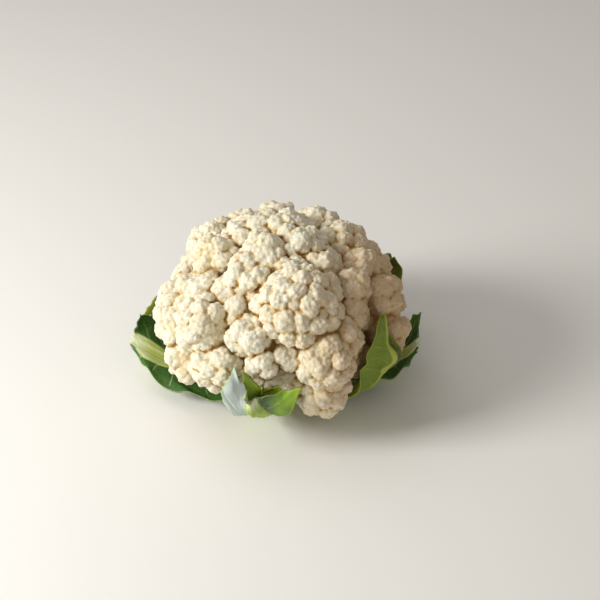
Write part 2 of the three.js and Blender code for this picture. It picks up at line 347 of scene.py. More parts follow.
LOW_FLORETS = [  # bearing, rise, width, reach: small ones half behind the front leaves, not in the solid
    (41, 4, 22, 71),
    (38, 12, 20, 78),
    (42, -9, 18, 67),
    (-21, 5, 20, 75),
    (-15, -3, 20, 74),
    (-6, -1, 18, 72),
    (-11, -9, 20, 69),
    (7, -12, 20, 68),
    (-2, -13, 18, 64),
    (8, -4, 20, 73),
]
low_florets = []
for bearing, rise, width, reach in LOW_FLORETS:
    way = direction(bearing, rise)
    low_florets.append((way * (reach - width / 2), width / 2, way))
print(len(florets), "florets and", len(low_florets), "low ones")

# %% [markdown]
# ## Clusters
#
# Each floret carries clusters about 13 mm apart, in a spiral of their own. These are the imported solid's
# clusters, by the same rule. It leaves out those on the florets' flanks, where a solid drawn straight out
# from the middle has plain walls. A real floret is knobbly round its flanks too, so they are grown here.

# %% Grow clusters on the florets
LARGEST = 0.6  # a cluster's radius is at most this share of its floret's
PACKING = 0.87  # the share of a gap's square that each cluster takes up
SCATTER = 0.08  # how far each stands off the spiral, and
SIZE_SPREAD = 0.12  # how much its size differs, either way
NEAREST = 0.66  # no two tips are nearer than this share of the gap
NEAREST_ON_FLANK = 0.72
HIDDEN = 0.4  # a tip this far under another floret's surface doesn't show
STEM_ROOM = 45  # no flank cluster comes nearer to the head's middle


def reach_of(ways, centres, radii, margin=0.0):
    """Distance from the head's middle to the furthest of these balls, or the core, along each way."""
    along = ways @ centres.T
    inside = (radii + margin) ** 2 - (centres**2).sum(axis=1) + along**2
    far = np.where(inside > 0, along + np.sqrt(np.maximum(inside, 0)), 0).max(axis=-1)
    return np.maximum(far, shell(ways, *CORE) + margin)


def is_free(tip, others, gap):
    """Whether a tip keeps the gap to all others."""
    return not others or np.linalg.norm(np.array(others) - tip, axis=1).min() >= gap


clusters, flank_clusters = [], []  # centre and radius
cluster_tips, all_tips = [], []
for place, (centre, carrier_radius, axis) in enumerate(florets + low_florets):
    size = min(CLUSTER_RADIUS, carrier_radius * LARGEST)
    apart = CLUSTER_GAP * size / CLUSTER_RADIUS
    area = 2 * math.pi * carrier_radius**2 * (1 - math.cos(math.radians(CAP_ANGLE)))
    count = math.floor(area / (apart**2 * PACKING) + 0.5)
    for way in spiral(axis, CAP_ANGLE, count, draw() * math.pi * 2):
        way = unit(way + [around(SCATTER), around(SCATTER), around(SCATTER)])
        own = size * (1 + around(SIZE_SPREAD))
        middle = centre + way * (carrier_radius - own * SUNK)
        tip = middle + way * own
        out = np.linalg.norm(tip)
        shows = reach_of((tip / out)[None], floret_centres, floret_radii)[0] <= out + HIDDEN
        if place < len(florets) and shows and is_free(tip, cluster_tips, apart * NEAREST):
            clusters.append((middle, own))
            cluster_tips.append(tip)
            all_tips.append(tip)
            continue
        inside_others = floret_radii - np.linalg.norm(floret_centres - tip, axis=1)
        if place < len(florets):
            inside_others[place] = -1
        in_the_open = inside_others.max() < 0.5 and out > STEM_ROOM
        if in_the_open and is_free(tip, all_tips, apart * NEAREST_ON_FLANK):
            flank_clusters.append((middle, own))
            all_tips.append(tip)
cluster_centres = np.array([c[0] for c in clusters])
cluster_radii = np.array([c[1] for c in clusters])
print(len(clusters), "clusters and", len(flank_clusters), "more on the flanks")

# %% [markdown]
# ## One skin over all of them
#
# The balls cross each other inside. A Boolean union could join them, but it is slow on hundreds of balls and
# leaves slivers where they cross. A voxel remesh lays one closed skin of even faces over their outside, with
# the tight creases that a real curd has. Stalks run from the stem out to the low florets, as they show from
# below.

# %% Balls and skins


def ball(subdivisions):
    """Corners and faces of a round ball of radius 1."""
    shape = bmesh.new()
    bmesh.ops.create_icosphere(shape, subdivisions=subdivisions, radius=1)
    corners = np.array([v.co[:] for v in shape.verts])
    faces = np.array([[v.index for v in f.verts] for f in shape.faces])
    shape.free()
    return corners, faces


def balls(centres, radii, subdivisions):
    """Corners and faces of many balls."""
    corners, faces = ball(subdivisions)
    all_corners = (centres[:, None] + radii[:, None, None] * corners[None]).reshape(-1, 3)
    first = np.arange(len(centres))[:, None, None] * len(corners)
    return all_corners, (faces[None] + first).reshape(-1, 3)


def mesh_of(name, corners, faces):
    """A mesh from corners in millimetres and faces that all have as many sides."""
    mesh = bpy.data.meshes.new(name)
    mesh.vertices.add(len(corners))
    mesh.vertices.foreach_set("co", (corners * MM).astype(np.float32).ravel())
    mesh.loops.add(faces.size)
    mesh.loops.foreach_set("vertex_index", faces.astype(np.int32).ravel())
    mesh.polygons.add(len(faces))
    mesh.polygons.foreach_set("loop_start", np.arange(0, faces.size, faces.shape[1], dtype=np.int32))
    mesh.update(calc_edges=True)
    return mesh


def read_array(items, key, width, kind):
    """Numbers of a mesh's corners, edges or faces as rows of a given width."""
    values = np.empty(len(items) * width, kind)
    items.foreach_get(key, values)
    return values.reshape(-1, width)


def skin_over(layers, voxel):
    """One closed skin over layers of corners and triangles. Gives its points, edges and four-sided faces."""
    corners = np.concatenate([layer[0] for layer in layers])
    starts = np.cumsum([0] + [len(layer[0]) for layer in layers[:-1]])
    faces = np.concatenate([layer[1] + start for layer, start in zip(layers, starts)])
    raw = bpy.data.objects.new("raw", mesh_of("raw", corners, faces))
    bpy.context.scene.collection.objects.link(raw)
    remesh = raw.modifiers.new("skin", "REMESH")
    remesh.mode = "VOXEL"
    remesh.voxel_size = voxel * MM
    skin = bpy.data.meshes.new_from_object(raw.evaluated_get(bpy.context.evaluated_depsgraph_get()))
    bpy.data.objects.remove(raw)
    points = read_array(skin.vertices, "co", 3, np.float32).astype(float) / MM
    edges = read_array(skin.edges, "vertices", 2, np.int32)
    quads = read_array(skin.polygons, "vertices", 4, np.int32)
    bpy.data.meshes.remove(skin)
    print(len(faces), "faces went in,", len(quads), "came out")
    return points, edges, quads


def eased(values, edges, rounds, share=0.5):
    """Values moved towards the mean of their neighbours along the edges."""
    values = values.copy()
    columns = values.reshape(len(values), -1)
    a, b = edges[:, 0], edges[:, 1]
    neighbours = np.bincount(edges.ravel(), minlength=len(values))
    for _ in range(rounds):
        for k in range(columns.shape[1]):
            column = columns[:, k]
            total = np.bincount(a, column[b], len(column)) + np.bincount(b, column[a], len(column))
            columns[:, k] = column + share * (total / neighbours - column)
    return values


def normals_of(points, quads):
    """The skin's direction at each point."""
    a, b, c, d = (points[quads[:, k]] for k in range(4))
    face_normals = np.cross(c - a, d - b)
    total = np.zeros_like(points)
    for k in range(3):
        for corner in quads.T:
            total[:, k] += np.bincount(corner, face_normals[:, k], len(points))
    return unit(total)


# %% The first skin: florets and clusters
UNDER_BUDS = 1.5  # this skin lies lower than the solid's, and the knots and buds make up for it
COARSE = 1.0  # the first skin's voxels, in millimetres
STALK_START = (14, -24)  # distance from the stem's axis, and height from the head's middle
STALK_RADII = (6.5, 9)  # at the stem and at the floret
STALK_SAG = 3
LOW_ENOUGH = 0.25  # a floret whose axis rises less than this has a stalk that shows


def stalks():
    """Balls in rows from the stem to each low floret, near enough to fuse into a stalk."""
    centres, radii = [], []
    for centre, _, axis in florets:
        if axis[2] > LOW_ENOUGH:
            continue
        start = np.array([axis[0] * STALK_START[0], axis[1] * STALK_START[0], STALK_START[1]])
        for t in np.linspace(0, 1, 22):
            centres.append(start + (centre - start) * t - [0, 0, STALK_SAG * math.sin(math.pi * t)])
            radii.append(STALK_RADII[0] + (STALK_RADII[1] - STALK_RADII[0]) * t)
    return np.array(centres), np.array(radii)


def core():
    """The solid flesh in the middle."""
    corners, faces = ball(5)
    height = np.where(corners[:, 2:] > 0, CORE[1], CORE[2])
    return corners * np.hstack([np.full((len(corners), 2), CORE[0]), height]), faces


knobs = clusters + flank_clusters
knob_centres = np.array([k[0] for k in knobs])
knob_radii = np.array([k[1] for k in knobs]) - UNDER_BUDS
all_centres = np.array([f[0] for f in florets + low_florets])
all_radii = np.array([f[1] for f in florets + low_florets])
all_axes = np.array([f[2] for f in florets + low_florets])
layers = [
    balls(knob_centres, knob_radii, 3),
    balls(all_centres, all_radii - UNDER_BUDS, 4),
    balls(*stalks(), 3),
    core(),
]
under_points, under_edges, under_quads = skin_over(layers, COARSE)
cluster_skin = (eased(under_points, under_edges, 1), under_edges, under_quads)

# %% [markdown]
# ## Knots and buds
#
# A cluster is made of knots about 8 mm wide, and each knot of buds about 4 mm wide. A displacement texture
# could raise bumps like them, but it stretches on steep flanks and its bumps never press together. So both
# are sown as real balls: each takes the first free place in a shuffled order, so they stand close but never
# in rows. None grows down in a crease or on a stalk, which keeps those dark and bare. A new skin then goes
# over the last one and what was sown on it.

# %% Sow growths on a skin
# Their radius and how much it varies, the gap between two, the share of the radius that is sunk, and the
# rounds of easing that tell how far a crease is looked for.
KNOTS = {"radius": 3.9, "spread": 0.28, "gap": 5.5, "sunk": 0.63, "rounds": 8}
BUDS = {"radius": 1.9, "spread": 0.12, "gap": 2.75, "sunk": 0.56, "rounds": 6}
CREASE = 0.06  # a place this far under its surroundings, in millimetres, is a crease
TURNED_BACK = -0.45  # skin that faces this much back along its floret's axis is a stalk's
FINER = 0.85  # voxels of the skin over the knots, in millimetres, and of the one over the buds
VOXEL = 0.58

chance = np.random.default_rng(7)


def spread_out(points, order, gap):
    """Picks points one by one in the order given, and skips each that is nearer than the gap to another."""
    cells = {}
    chosen = []
    for i in order:
        point = points[i]
        x, y, z = (int(c // gap) for c in point)
        block = [(x + a, y + b, z + c) for a in (-1, 0, 1) for b in (-1, 0, 1) for c in (-1, 0, 1)]
        if all(math.dist(point, other) >= gap for cell in block for other in cells.get(cell, ())):
            cells.setdefault((x, y, z), []).append(point)
            chosen.append(i)
    return np.array(chosen)


def from_florets(points):
    """How far each point lies from the nearest floret's ball, and which floret that is."""
    gaps = np.stack([np.linalg.norm(points - c, axis=1) - r for c, r in zip(all_centres, all_radii)])
    return gaps.min(axis=0), gaps.argmin(axis=0)


def hollowness(points, edges, normals, rounds):
    """How deep each point lies under its surroundings. More rounds take in wider ones."""
    return ((eased(points, edges, rounds) - points) * normals).sum(axis=1)


def sow(skin, growth):
    """Centres and radii of growths on a skin of points, edges and faces, and how deep its creases are."""
    points, edges, quads = skin
    normals = normals_of(points, quads)
    hollow = hollowness(points, edges, normals, growth["rounds"])
    floret_gap, floret_of = from_florets(points)
    faces_out = (normals * all_axes[floret_of]).sum(axis=1) > TURNED_BACK
    may_grow = (hollow < CREASE) & (floret_gap < CLUSTER_RADIUS) & faces_out
    order = chance.permutation(np.flatnonzero(may_grow))
    places = spread_out(points.tolist(), order.tolist(), growth["gap"])
    radii = growth["radius"] * (1 + chance.uniform(-1, 1, len(places)) * growth["spread"])
    centres = points[places] - normals[places] * (radii * growth["sunk"])[:, None]
    print(len(places), "growths, creases in millimetres", np.percentile(hollow, [5, 50, 95]).round(2))
    return centres, radii, hollow


def cover(skin, centres, radii, voxel):
    """A new skin over the last one and what was sown on it."""
    points, _, quads = skin
    triangles = np.concatenate([quads[:, [0, 1, 2]], quads[:, [0, 2, 3]]])
    new_points, edges, new_quads = skin_over([(points, triangles), balls(centres, radii, 2)], voxel)
    return eased(new_points, edges, 1, share=0.6), edges, new_quads


knot_centres, knot_radii, cluster_creases = sow(cluster_skin, KNOTS)
knot_skin = cover(cluster_skin, knot_centres, knot_radii, FINER)
bud_centres, bud_radii, knot_creases = sow(knot_skin, BUDS)
points, edges, quads = cover(knot_skin, bud_centres, bud_radii, VOXEL)

# %% [markdown]
# ## Creases and bends
#
# A curd is near white on its tips and tan in its creases, and painted shade darkens the creases further.
# How deep each corner lies is measured at four sizes: between buds, knots, clusters and florets. Blender's
# shader has a Pointiness value for this, but it sees only the finest of the four. The material reads these,
# with a tone for each bud, because no two buds are quite the same white.
#
# Then slow noise bends the mass by a millimetre or so, so that no floret stays a true ball. It leaves the
# middle of the underside alone, where the stem is. The leaves are bent by the same noise later, so they stay
# clear.

# %% Measure the creases
SHADE_SIDE = direction(78, 5)  # this side, away from the key lamp, gets painted warm shade


def smooth_step(values, low, high):
    """From 0 at the low value to 1 at the high one, with an easy start and end."""
    t = np.clip((values - low) / (high - low), 0, 1)
    return t * t * (3 - 2 * t)


def nearest(places, points):
    """Which of the places lies nearest to each point."""
    tree = kdtree.KDTree(len(places))
    for i, place in enumerate(places):
        tree.insert(place, i)
    tree.balance()
    return np.array([tree.find(point)[1] for point in points])


def carried(values, places):
    """Values of an earlier skin, read at the nearest of its points. Every second point is near enough."""
    return values[::2][nearest(places[::2], points)]


normals = normals_of(points, quads)
cluster_normals = normals_of(cluster_skin[0], cluster_skin[2])
floret_creases = hollowness(cluster_skin[0], cluster_skin[1], cluster_normals, 90)
CREASES = [  # between what, its depths, its share of the full tan and painted shade, the depths where that starts and is full
    ("buds", hollowness(points, edges, normals, 4), 0.30, 0.02, 0.10),
    ("knots", carried(knot_creases, knot_skin[0]), 0.50, 0.05, 0.22),
    ("clusters", carried(cluster_creases, cluster_skin[0]), 0.38, 0.06, 0.36),
    ("florets", carried(floret_creases, cluster_skin[0]), 0.46, 0.3, 1.6),
]
crease = np.zeros(len(points))
for between, depths, share, start, full in CREASES:
    crease += share * smooth_step(depths, start, full)
    print("creases between", between, np.percentile(depths, [5, 50, 95]).round(2), "mm")

own_bud = nearest(bud_centres, points)
from_middle = np.linalg.norm(points, axis=1)
# How far each corner lies under the dome: the material paints shade into the deep hollows between florets by
# it.
under_dome = shell(unit(points), HEAD_RADIUS, DOME_RISE, DROOP) - from_middle
CURD_FACTS = {
    "crease": eased(np.clip(crease, 0, 1), edges, 1),
    "under_dome": eased(under_dome, edges, 4),
    "bud_tone": eased(chance.random(len(bud_centres))[own_bud], edges, 1),
    "toward_shade": points @ SHADE_SIDE,
}

# %% Bend the mass
BEND = 1.4  # millimetres either way
BEND_WIDTH = 17
STILL, FREE = 35, 60  # nothing nearer to the head's middle moves, and all that is further moves fully
BEND_SEED = 1
noise.seed_set(BEND_SEED)  # unseeded, noise_vector takes its offsets from the clock and each run differs


def bent(points):
    """Points about the head's middle, moved by slow noise."""
    moves = np.array([noise.noise_vector(Vector(p) / BEND_WIDTH) for p in points])
    return points + moves * (BEND * smooth_step(np.linalg.norm(points, axis=1), STILL, FREE))[:, None]


skin = bent(points)
normals = normals_of(skin, quads)
print("bent by up to", round(float(np.abs(skin - points).max()), 1), "mm")

# %% [markdown]
# ## Curd flesh
#
# Curd is a dense mass of white buds with wet, slightly see-through skin. Light goes a millimetre or two into
# it, so its shade is soft and warm, and it has a faint dull gloss. One plain cream colour would look like
# plaster, so the tone follows the creases, the age of each patch and each bud. Painted shade darkens the
# creases, the deep hollows between florets and the side away from the key lamp.

# %% Curd material
# Cauliflower curd, fresh: water-rich plant flesh, IOR near 1.38, broken up by buds too fine to gloss.
PATCH_WIDTH = 29.4  # old cream patches
GRAIN_WIDTH = 1.79  # every bud is made of still smaller ones, with darker seams between them
curd_flesh, tree = new_material("cauliflower_curd")
on_head = add_node(tree, "ShaderNodeTexCoord").outputs["Object"]
read = {}
for name in CURD_FACTS:
    read[name] = add_node(tree, "ShaderNodeAttribute", attribute_name=name).outputs["Fac"]
patches = add_node(
    tree, "ShaderNodeTexNoise", {"Vector": on_head, "Scale": scale_for(PATCH_WIDTH), "Detail": 3.0}
).outputs["Fac"]
seams = add_node(
    tree,
    "ShaderNodeTexVoronoi",
    {"Vector": on_head, "Scale": scale_for(GRAIN_WIDTH), "Smoothness": 0.3},
    feature="SMOOTH_F1",
).outputs["Distance"]

# Cream white on the tips, and in the creases tan going to brown: partly the flesh's own tan, partly painted
# shade.
tips_to_tan_and_shade = [(0, "F2EFDD"), (0.25, "EADEBC"), (0.58, "C8A364"), (1, "6C4620")]
flesh = add_node(tree, "ShaderNodeValToRGB", {"Fac": read["crease"]}, tips_to_tan_and_shade).outputs[0]
flesh = painted(tree, flesh, "DFCB92", (patches, 0.45, 0.75, 0, 0.4))
flesh = painted(tree, flesh, "D0BA8C", (read["bud_tone"], 0.2, 1, 0, 0.22))
# Painted shade: the side away from the key lamp goes warm tan.
flesh = painted(tree, flesh, "CA9C60", (read["toward_shade"], 15, 80, 0, 0.6))
# Painted shade: brown deep in the hollows under the dome, between florets.
flesh = painted(tree, flesh, "8F6B36", (read["under_dome"], 6, 20, 0, 0.65))
flesh = painted(tree, flesh, "B9975F", (seams, 0.4, 0.75, 0, 0.22))

grain_spans = {"Value": seams, "From Min": 0.05, "From Max": 0.7, "To Min": 1.0, "To Max": 0.0}
grain = add_node(tree, "ShaderNodeMapRange", grain_spans, interpolation_type="SMOOTHSTEP")
bump = add_node(tree, "ShaderNodeBump", {"Height": grain.outputs[0], "Strength": 0.5, "Distance": 0.4 * MM})
rough_spans = {"Value": patches, "From Min": 0.3, "From Max": 0.7, "To Min": 0.58, "To Max": 0.7}
rough = add_node(tree, "ShaderNodeMapRange", rough_spans, interpolation_type="SMOOTHSTEP")
shader = add_node(
    tree,
    "ShaderNodeBsdfPrincipled",
    {
        "Base Color": flesh,
        "Normal": bump.outputs["Normal"],
        "Roughness": rough.outputs[0],
        "IOR": 1.38,
        "Specular IOR Level": 0.26,
        "Subsurface Weight": 0.2,
        "Subsurface Radius": (1.0, 0.6, 0.3),
        "Subsurface Scale": 1.8 * MM,
    },
)
add_node(tree, "ShaderNodeOutputMaterial", {"Surface": shader.outputs[0]})
print("curd material has", len(tree.nodes), "nodes")

# %% [markdown]
# ## The curd in pieces
#
# The skin is one body. One mesh of it would be too heavy to edit or to send on, and thinning it would lose
# the buds. So it is stored in groups of florets, parted along the creases between them. Each keeps the
# whole skin's normals, so the joins don't show.

# %% Part the skin
GROUPS = {  # each group's middle: bearing and rise
    "curd_crown": (0, 88),
    "curd_front": (12, 34),
    "curd_front_left": (-45, 18),
    "curd_left": (-95, 22),
    "curd_right": (70, 20),
    "curd_back_right": (135, 22),
    "curd_back_left": (-150, 22),
    "curd_foot": (12, -55),
}
FOOT_FALL = 0.42  # what lies lower than this, as a sine, is the foot
group_ways = np.array([direction(*place) for place in GROUPS.values()])
floret_group = (all_axes @ group_ways.T).argmax(axis=1)
corner_group = floret_group[from_florets(points)[1]]
corner_group[points[:, 2] < -FOOT_FALL * from_middle] = list(GROUPS).index("curd_foot")
face_group = corner_group[quads[:, 0]]


def add_piece(name, mesh, node, material):
    """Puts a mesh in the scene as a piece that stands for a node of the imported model."""
    mesh.polygons.foreach_set("use_smooth", np.ones(len(mesh.polygons), bool))
    mesh.materials.append(material)
    piece = bpy.data.objects.new(name, mesh)
    bpy.context.scene.collection.objects.link(piece)
    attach(piece, "root")
    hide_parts(node)


def set_values(mesh, name, values):
    """Stores one number for each corner, for the material to read."""
    mesh.attributes.new(name, "FLOAT", "POINT").data.foreach_set("value", values.astype(np.float32))


def flat_map(mesh, places):
    """Gives the mesh a map to bake on, from a place on it for each corner."""
    low, high = places.min(axis=0), places.max(axis=0)
    corner_of = read_array(mesh.loops, "vertex_index", 1, np.int32)[:, 0]
    spread = 0.01 + 0.98 * (places - low) / (high - low)
    mesh.uv_layers.new(name="OFBake").data.foreach_set("uv", spread[corner_of].astype(np.float32).ravel())


def seen_from_middle(points, axis):
    """Places on a flat map, as a globe's are drawn round one point, so that distances from it stay true."""
    ways = unit(points)
    side = unit(np.cross([0.1, 0.2, 1], axis))
    rise = np.cross(axis, side)
    flat = np.stack([ways @ side, ways @ rise], axis=1)
    angle = np.arccos(np.clip(ways @ axis, -1, 1))
    return flat * (angle / np.maximum(np.linalg.norm(flat, axis=1), 1e-6))[:, None]


for g, name in enumerate(GROUPS):
    chosen = quads[face_group == g]
    used, renumbered = np.unique(chosen, return_inverse=True)
    mesh = mesh_of(name, skin[used] + [0, 0, RIM_HEIGHT], renumbered.reshape(-1, 4))
    for key, values in CURD_FACTS.items():
        set_values(mesh, key, values[used])
    flat_map(mesh, seen_from_middle(points[used], unit(points[used].mean(axis=0))))
    add_piece(name, mesh, "curd", curd_flesh)
    mesh.normals_split_custom_set_from_vertices(normals[used])
    print(name, len(chosen), "faces")

# %% [markdown]
# ## Leaves
#
# A cauliflower leaf is a stout channelled rib with a thin blade on each side. The knife leaves only its
# lower part. A flat leaf bent afterwards would tear its rib from its blade, so each is laid out by three
# curves from the stem outwards: the rib and the blade's two edges, as stations of bearing, distance from
# the stem's axis and height. Every point that would touch the curd is pushed clear of it, as the growing
# curd pushes its leaves.

# %% Where the leaves run
# Two places lie a few millimetres off the solids', nearer to the photograph: the rib's width at the end of
# leaf_left, and the left edge of leaf_right_front.
LEAVES = {
    "leaf_left": {
        "rib": [(-95, 20.8, 7), (-93, 46, 6), (-91, 66, 10), (-92, 84, 17), (-95, 101, 25)],
        "left": [(-112, 20.8, 7), (-116, 46, 9), (-118, 70, 16), (-112, 89, 29), (-102, 95, 37)],
        "right": [(-78, 20.8, 8), (-38, 43, 11), (-49, 57, 13.5), (-73, 79, 14.5), (-93, 101, 22)],
        "rib_size": (6, 14, 3, 13),
        "wave": (1.6, 3.2),
    },
    "leaf_front": {
        "rib": [(-13, 20.8, 8), (-13, 40, 13), (-13, 57, 19), (-13, 68, 30), (-13, 75, 48)],
        "left": [(-25, 20.8, 8), (-23, 44, 14), (-19.5, 62, 29), (-23, 79, 57), (-18.5, 80, 71)],
        "right": [(-1, 20.8, 8), (-1, 42, 13), (1, 60, 21), (4, 71, 34), (9.8, 80, 60)],
        "rib_size": (6, 14, 4, 11),
        "wave": (0.6, 2.2),
        "lift": 4.4,
        "ripple": 0.4,
    },
    "leaf_front_inner": {
        "rib": [(-8, 22, 17), (-8, 40, 21), (-8, 57, 27), (-8, 68, 40), (-8, 75, 56)],
        "left": [(-14, 22, 17), (-16, 40, 21), (-18, 57, 29), (-18, 70, 46), (-16, 77, 66)],
        "right": [(-3, 22, 17), (-1, 40, 21), (0, 57, 27), (1, 69, 42), (1, 76, 56)],
        "rib_size": (0.2, 5, 0.1, 2),
        "wave": (0, 2.2),
        "ripple": 0,
    },
    "leaf_right_front": {
        "rib": [(46, 20.8, 8), (52, 48, 15), (58, 67, 25), (59, 75, 44), (57, 77.5, 62), (56.5, 76, 82)],
        "left": [(34, 20.8, 8), (36.5, 48, 15), (39, 66, 30), (40.5, 73, 47), (43, 78, 64), (54.5, 76, 82.5)],
        "right": [(56, 20.8, 8), (63, 48, 15), (67, 68, 22), (65, 77, 41), (61, 77.5, 61), (57.5, 76, 81.5)],
        "rib_size": (5, 11, 1.4, 4),
        "wave": (0.7, 2.4),
        "ripple": 0.4,
    },
    "leaf_right": {
        "rib": [(93, 20.8, 7), (92, 46, 8), (91, 66, 12), (90, 82, 20), (90, 90, 30)],
        "left": [(78, 20.8, 7), (74, 46, 9), (73, 62, 13.5), (78, 79, 19.5), (87, 91, 25)],
        "right": [(106, 20.8, 7), (109, 46, 8), (111, 70, 18), (106, 87, 34), (99, 90, 43)],
        "rib_size": (6, 13, 2.4, 7),
        "wave": (1.4, 2.8),
    },
    "leaf_back_right": {
        "rib": [(135, 20.8, 8), (135, 46, 8), (136, 68, 16), (137, 87, 38), (136, 91, 60)],
        "left": [(122, 20.8, 8), (121, 46, 9), (119, 68, 20), (117, 87, 42), (120, 89, 67)],
        "right": [(148, 20.8, 8), (149, 46, 9), (152, 68, 20), (154, 86, 40), (149, 90, 60)],
        "rib_size": (7, 14, 2.2, 6),
        "wave": (1.3, 2.4),
    },
    "leaf_back": {
        "rib": [(180, 20.8, 7), (180, 46, 6), (180, 68, 11), (180, 88, 26), (180, 95, 42)],
        "left": [(167, 20.8, 7), (163, 46, 7), (160, 68, 14), (160, 88, 30), (166, 94, 48)],
        "right": [(193, 20.8, 7), (197, 46, 7), (200, 68, 14), (202, 88, 32), (196, 95, 50)],
        "rib_size": (7, 14, 3, 8),
        "wave": (1.3, 2.7),
    },
    "leaf_back_left": {
        "rib": [(-138, 20.8, 8), (-138, 46, 9), (-136, 67, 17), (-130, 84, 34), (-122, 88, 46)],
        "left": [(-151, 20.8, 8), (-153, 46, 10), (-154, 67, 20), (-153, 85, 40), (-145, 89, 53)],
        "right": [(-125, 20.8, 8), (-124, 46, 10), (-120, 66, 18), (-107, 85, 32), (-98, 88, 43)],
        "rib_size": (7, 13, 2.2, 6),
        "wave": (1.0, 2.3),
    },
}
print(len(LEAVES), "leaves")

# %% Curves through the stations


def smooth_curve(stations, places):
    """Points on a smooth curve through the stations, at places from 0 at the first to 1 at the last."""
    stations = np.array(stations, float)
    stations = np.vstack([2 * stations[0] - stations[1], stations, 2 * stations[-1] - stations[-2]])
    found = []
    for place in places:
        at = min(place * (len(stations) - 3), len(stations) - 3 - 1e-9)
        i = int(at)
        t = at - i
        p0, p1, p2, p3 = stations[i : i + 4]
        d0, d1, d2 = (max(np.sum((b - a) ** 2) ** 0.25, 1e-4) for a, b in ((p0, p1), (p1, p2), (p2, p3)))
        m1 = ((p1 - p0) / d0 - (p2 - p0) / (d0 + d1) + (p2 - p1) / d1) * d1
        m2 = ((p2 - p1) / d1 - (p3 - p1) / (d1 + d2) + (p3 - p2) / d2) * d1
        a = 2 * p1 - 2 * p2 + m1 + m2
        b = -3 * p1 + 3 * p2 - 2 * m1 - m2
        found.append(((a * t + b) * t + m1) * t + p1)
    return np.array(found)


print("halfway up leaf_left's rib:", smooth_curve(LEAVES["leaf_left"]["rib"], [0.5])[0].round(1))


# %% Keep the leaves clear of the curd
hard_centres = np.concatenate([floret_centres, cluster_centres])
hard_radii = np.concatenate([floret_radii, cluster_radii])
CLEAR = 1.2
NEARBY = 0.07  # how far to each side florets are felt, as an angle in radians
GIVE = 1.5  # a leaf may lie this deep among the clusters of a floret beside it


def clear_of_curd(places, lift):
    """Points pushed straight out from the head's middle until they are clear of the florets."""
    out = places - [0, 0, RIM_HEIGHT]
    far = np.linalg.norm(out, axis=1)
    way = out / far[:, None]
    side = unit(np.cross([0, 0, 1], way))
    rise = np.cross(way, side)
    least = reach_of(way, hard_centres, hard_radii)
    for a, b in ((0, 0), (1, 0), (-1, 0), (0, 1), (0, -1)):
        near = unit(way + side * a * NEARBY + rise * b * NEARBY)
        least = np.maximum(least, reach_of(near, floret_centres, floret_radii, RELIEF) - GIVE)
        least = np.maximum(least, reach_of(near, hard_centres, hard_radii))
    return way * np.maximum(far, least + CLEAR + lift)[:, None] + [0, 0, RIM_HEIGHT]


print("leaves keep", CLEAR, "mm clear of", len(hard_radii), "florets and clusters")


# %% [markdown]
# ## A leaf's two faces
#
# The rule above gives a coarse net for the face towards the curd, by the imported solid's own rule. A
# smoothing modifier would round its margin off, so it is sampled finely with cubic curves both ways
# instead, and its margin is nibbled in by a few millimetres, as a cut leaf's is. The outer face lies a
# blade's thickness away, and further where the rib stands out. Its side veins are raised, the rib has fine
# ridges along it, and the blade is a little puckered between the veins and rippled towards its margin.

# %% The coarse net and fine points on it
ROWS, COLUMNS = 14, 10
CROWDING = 1.35  # the net's columns stand closer near the rib


def coarse_net(leaf):
    """The inner face as rows from the stem outwards, from the left edge to the right."""
    left, rib, right = (smooth_curve(leaf[k], np.linspace(0, 1, ROWS + 1)) for k in ("left", "rib", "right"))
    height, waves = leaf["wave"]
    places = []
    for i in range(ROWS + 1):
        u = i / ROWS
        for j in range(COLUMNS + 1):
            s = 2 * j / COLUMNS - 1
            v = math.copysign(abs(s) ** CROWDING, s)
            edge = left[i] if v < 0 else right[i]
            bearing, radius, z = rib[i] + (edge - rib[i]) * abs(v)
            radius += height * u * v * v * math.sin((waves * u + (0.3 if v < 0 else 0.8)) * math.pi * 2)
            b = math.radians(bearing)
            places.append((radius * math.sin(b), -radius * math.cos(b), z))
    return clear_of_curd(np.array(places), leaf.get("lift", 0)).reshape(ROWS + 1, COLUMNS + 1, 3)


def cubic(p0, p1, p2, p3, t):
    """A place from 0 to 1 between the middle two of four points in a row, on a cubic curve."""
    a = -p0 + 3 * p1 - 3 * p2 + p3
    b = 2 * p0 - 5 * p1 + 4 * p2 - p3
    return 0.5 * (((a * t + b) * t + (p2 - p0)) * t + 2 * p1)


def sampled(net, row_at, column_at):
    """Points of the net at any rows and columns, on cubic curves both ways."""
    i = np.clip(np.floor(row_at).astype(int), 0, ROWS - 1)
    j = np.clip(np.floor(column_at).astype(int), 0, COLUMNS - 1)
    t, s = (row_at - i)[..., None], (column_at - j)[..., None]
    lines = []
    for dj in (-1, 0, 1, 2):
        c = np.clip(j + dj, 0, COLUMNS)
        lines.append(cubic(*(net[np.clip(i + di, 0, ROWS), c] for di in (-1, 0, 1, 2)), t))
    return cubic(*lines, s)


front_net = coarse_net(LEAVES["leaf_front"])
print("leaf_front's coarse net has", front_net.shape[0], "rows of", front_net.shape[1])

# %% Nibble the margins
END_BITES, EDGE_BITES = 4, 9  # about how many bites there are at the end, and along each edge
END_DEPTH, EDGE_DEPTH = 0.06, 0.12  # their depth as a share of the leaf's length, and of half its width


def wander(points, scale, seed):
    """Slow noise from -1 to 1 for each point."""
    shift = Vector((seed * 7.3, seed * 3.1, 0))
    flat = points.reshape(-1, 3)
    return np.array([noise.noise(Vector(p) / scale + shift) for p in flat]).reshape(points.shape[:-1])


def bites(places, seed):
    """How deep the bites go at each place, from 0 to about 1: broad ones with small ones between."""
    return np.abs(wander(places, 1, seed)) + 0.4 * np.abs(wander(places, 0.3, seed))


